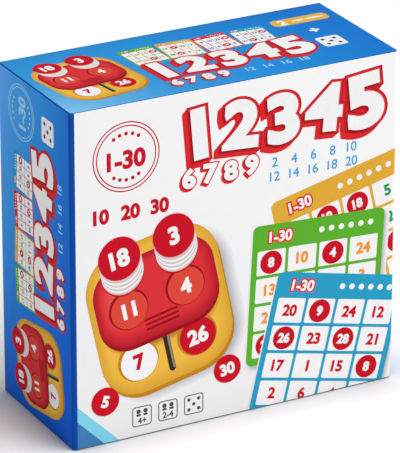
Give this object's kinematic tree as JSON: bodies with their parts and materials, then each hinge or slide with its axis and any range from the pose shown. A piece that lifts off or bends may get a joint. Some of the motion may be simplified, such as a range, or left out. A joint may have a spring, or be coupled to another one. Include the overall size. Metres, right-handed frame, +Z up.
{
  "type": "bingo game",
  "caption": "Closed rectangular game box with a lift-off lid; inside are playing boards, a leaflet, a card platform and a sliding two-tube token dispenser with round tokens.",
  "frame": {"origin": "centre of the underside of the closed box as it stands upright", "axes": "+Z up along the upright box, the printed front faces -Y, the tray's floor faces +Y, +X to the viewer's right"},
  "size_m": [0.25, 0.108, 0.246],
  "materials": {
    "printed_wrap": "greyboard under a printed paper wrap with a soft gloss",
    "tray_board": "greyboard under plain white paper",
    "white_card": "folded white card, matt",
    "board_green": "printed greyboard, satin",
    "board_blue": "printed greyboard, satin",
    "board_orange": "printed greyboard, satin",
    "board_red": "printed greyboard, satin",
    "leaflet_paper": "plain paper, matt",
    "yellow_plastic": "moulded, satin gloss",
    "red_plastic": "moulded, satin gloss",
    "token_card": "punched printed greyboard, satin",
    "screw_steel": "zinc plated"
  },
  "bodies": {
    "tray": {"box_tray": "tray_board", "insert_platform": "white_card", "board_green": "board_green", "board_blue": "board_blue", "board_orange": "board_orange", "board_red": "board_red", "rules_leaflet": "leaflet_paper", "dispenser_base": "yellow_plastic", "token_27": "token_card", "token_28": "token_card", "token_29": "token_card", "token_30": "token_card"},
    "lid": {"box_lid": "printed_wrap"},
    "magazine": {"magazine": "red_plastic", "magazine_keeper": "red_plastic", "keeper_screw_lower": "screw_steel", "keeper_screw_upper": "screw_steel", "token_01": "token_card", "token_02": "token_card", "token_03": "token_card", "token_04": "token_card", "token_05": "token_card", "token_06": "token_card", "token_07": "token_card", "token_08": "token_card", "token_09": "token_card", "token_10": "token_card", "token_11": "token_card", "token_12": "token_card", "token_13": "token_card", "token_14": "token_card", "token_15": "token_card", "token_16": "token_card", "token_17": "token_card", "token_18": "token_card", "token_19": "token_card", "token_20": "token_card", "token_21": "token_card", "token_22": "token_card", "token_23": "token_card", "token_24": "token_card", "token_25": "token_card", "token_26": "token_card"}
  },
  "joints": [
    {"name": "lid_lift", "type": "slide", "parent": "tray", "child": "lid", "axis": [0, -1, 0], "range_m": [0, 0.16]},
    {"name": "magazine_slide", "type": "slide", "parent": "tray", "child": "magazine", "axis": [0, 0, -1], "range_m": [0, 0.046]}
  ]
}
